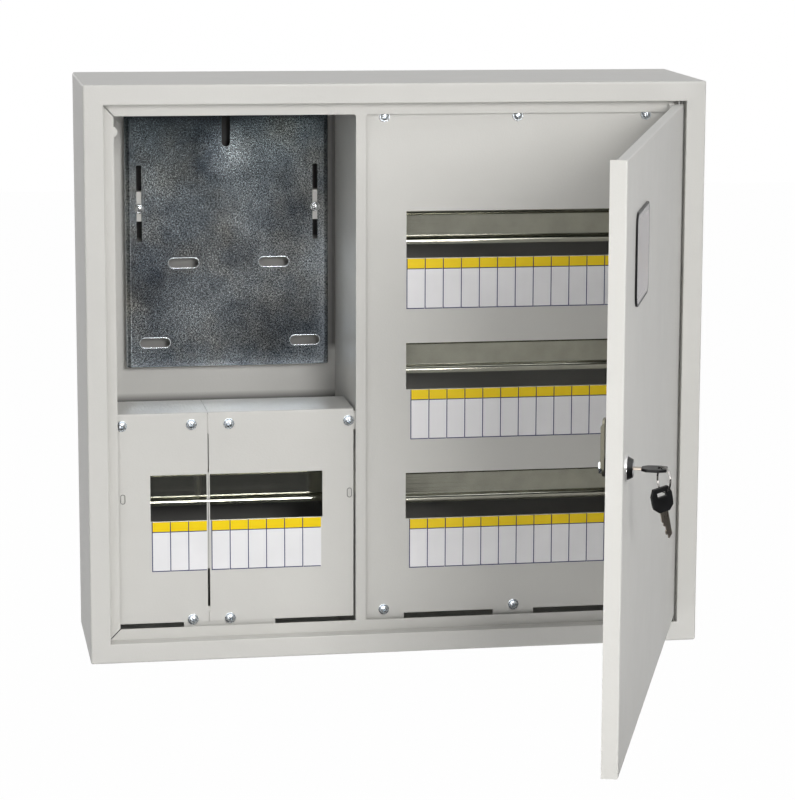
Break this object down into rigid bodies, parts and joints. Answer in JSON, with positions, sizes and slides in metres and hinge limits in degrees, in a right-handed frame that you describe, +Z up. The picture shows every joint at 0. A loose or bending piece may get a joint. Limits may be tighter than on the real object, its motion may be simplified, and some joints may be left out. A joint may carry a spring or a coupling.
{
  "type": "electrical enclosure",
  "caption": "Wall-hung sheet-steel electrical enclosure with a hinged locking door, a meter bay with slotted plate, module covers with windows and labels over top-hat rails.",
  "frame": {"origin": "centre of the back face, on the wall plane, in the middle of the four wall holes", "axes": "+X to the right seen from the front, -Y towards the front, +Y into the wall, +Z up"},
  "size_m": [0.59, 0.6709, 0.548],
  "materials": {
    "powder_coat": "fine orange-peel powder coat",
    "galvanised": "galvanised with a fine spangle",
    "zinc": "bright zinc plate",
    "chrome": "polished",
    "key_steel": "nickel-plated, dull",
    "black_plastic": "matt moulded",
    "label": "printed film",
    "clear": "clear moulded"
  },
  "bodies": {
    "box": {"box_shell": "powder_coat", "back_panel": "powder_coat", "partition": "powder_coat", "meter_plate": "galvanised", "plate_brackets": "powder_coat", "plate_screws": "zinc", "cover_right": "powder_coat", "cover_left": "powder_coat", "cover_middle": "powder_coat", "screws_right": "zinc", "screws_left": "zinc", "tabs_right": "powder_coat", "tab_left": "powder_coat", "cross_bar": "powder_coat", "rail_top": "galvanised", "rail_middle": "galvanised", "rail_bottom": "galvanised", "rail_left": "galvanised", "uprights_right": "galvanised", "uprights_left": "galvanised", "rail_screws": "zinc", "label_top": "label", "label_middle": "label", "label_bottom": "label", "label_left": "label", "label_left_wide": "label", "earth_stud": "zinc", "earth_nut": "zinc", "hinge_bush": "black_plastic"},
    "door": {"door_panel": "powder_coat", "door_pane": "clear", "pane_edging": "black_plastic", "hinge_pins": "zinc", "hinge_brackets": "powder_coat", "lock_bezel": "chrome", "lock_housing": "black_plastic", "lock_nut": "zinc"},
    "lock": {"lock_plug": "chrome", "lock_cam": "zinc", "cam_screw": "zinc", "key_blade": "key_steel", "key_bow": "black_plastic"},
    "ring": {"key_ring": "key_steel"},
    "spare": {"spare_blade": "key_steel", "spare_bow": "black_plastic"}
  },
  "joints": [
    {"name": "door_hinge", "type": "hinge", "parent": "box", "child": "door", "pos_m": [0.2695, -0.155, 0], "axis": [0, 0, 1], "range_deg": [-71, 34]},
    {"name": "lock_turn", "type": "hinge", "parent": "door", "child": "lock", "pos_m": [0.10544, -0.6453, 0.0017], "axis": [0.9455, -0.3256, 0], "range_deg": [0, 90]},
    {"name": "ring_swing", "type": "hinge", "parent": "lock", "child": "ring", "pos_m": [0.13305, -0.66031, -0.00565], "axis": [0.9613, 0.2756, 0], "range_deg": [-20, 20]},
    {"name": "spare_swing", "type": "hinge", "parent": "ring", "child": "spare", "pos_m": [0.13305, -0.66031, -0.01595], "axis": [-0.2756, 0.9613, 0], "range_deg": [-20, 20]}
  ]
}
